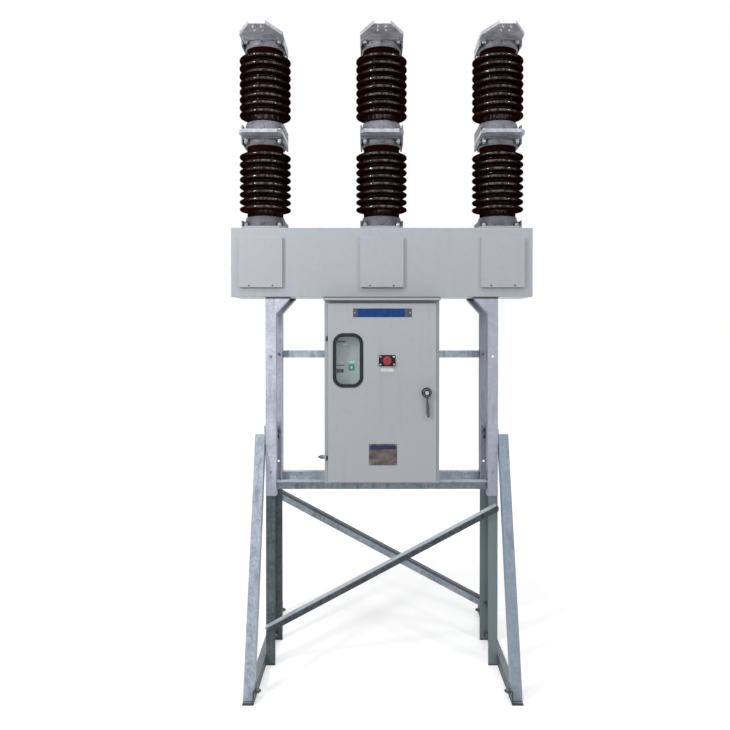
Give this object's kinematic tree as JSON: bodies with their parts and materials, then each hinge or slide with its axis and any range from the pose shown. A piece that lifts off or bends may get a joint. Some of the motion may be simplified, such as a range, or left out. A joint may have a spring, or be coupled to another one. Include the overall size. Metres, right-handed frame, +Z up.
{
  "type": "outdoor vacuum circuit breaker",
  "caption": "Outdoor high-voltage vacuum circuit breaker: shedded porcelain poles with terminal plates on a beam housing, a hinged operating cabinet below, on an angle-steel stand.",
  "frame": {"origin": "on the ground, at the middle of the footprint, below the axis of the middle pole", "axes": "+Z up, +X to the right seen from the cabinet door, -Y towards the front (the door side)"},
  "size_m": [1.75, 1.184, 3.686],
  "materials": {
    "grey_paint": "light grey powder coat, satin",
    "cast_aluminium": "sand cast, weathered grey",
    "brown_porcelain": "dark brown gloss glaze",
    "bright_zinc": "hot-dip galvanised, spangled",
    "dull_zinc": "hot-dip galvanised, dull",
    "chrome_fittings": "polished chrome",
    "window_rubber": "dark slate rubber",
    "window_glass": "clear",
    "button_plate": "black, moulded",
    "button_red": "red, glossy",
    "plate_enamel": "blue enamel, bare of text"
  },
  "bodies": {
    "stand_and_poles": {"beam_box": "grey_paint", "beam_covers": "grey_paint", "cabinet_body": "grey_paint", "cabinet_roof": "grey_paint", "inner_panel": "grey_paint", "door_hinges": "chrome_fittings", "front_uprights": "bright_zinc", "rear_uprights": "bright_zinc", "raking_legs": "bright_zinc", "base_rails": "bright_zinc", "front_brace": "bright_zinc", "rear_brace": "bright_zinc", "rear_bar": "bright_zinc", "rear_rail": "bright_zinc", "lower_legs": "dull_zinc", "front_rail": "dull_zinc", "base_flange_a": "cast_aluminium", "base_flange_b": "cast_aluminium", "base_flange_c": "cast_aluminium", "mid_flanges_a": "cast_aluminium", "mid_flanges_b": "cast_aluminium", "mid_flanges_c": "cast_aluminium", "lower_terminal_a": "cast_aluminium", "lower_terminal_b": "cast_aluminium", "lower_terminal_c": "cast_aluminium", "top_flange_a": "cast_aluminium", "top_flange_b": "cast_aluminium", "top_flange_c": "cast_aluminium", "upper_terminal_a": "cast_aluminium", "upper_terminal_b": "cast_aluminium", "upper_terminal_c": "cast_aluminium", "lower_insulator_a": "brown_porcelain", "lower_insulator_b": "brown_porcelain", "lower_insulator_c": "brown_porcelain", "upper_insulator_a": "brown_porcelain", "upper_insulator_b": "brown_porcelain", "upper_insulator_c": "brown_porcelain"},
    "door": {"cabinet_door": "grey_paint", "window_gasket": "window_rubber", "window_glass": "window_glass", "button_plate": "button_plate", "handle_base": "chrome_fittings", "door_plates": "plate_enamel"},
    "handle": {"door_handle": "chrome_fittings"},
    "button": {"trip_button": "button_red"}
  },
  "joints": [
    {"name": "door_hinge", "type": "hinge", "parent": "stand_and_poles", "child": "door", "pos_m": [-0.315, -0.222, 1.6], "axis": [0, 0, -1], "range_deg": [0, 110]},
    {"name": "handle_turn", "type": "hinge", "parent": "door", "child": "handle", "pos_m": [0.256, -0.231, 1.6], "axis": [0, 1, 0], "range_deg": [0, 90]},
    {"name": "button_push", "type": "slide", "parent": "door", "child": "button", "axis": [0, 1, 0], "range_m": [0, 0.006], "stiffness_N_per_m": 800}
  ]
}
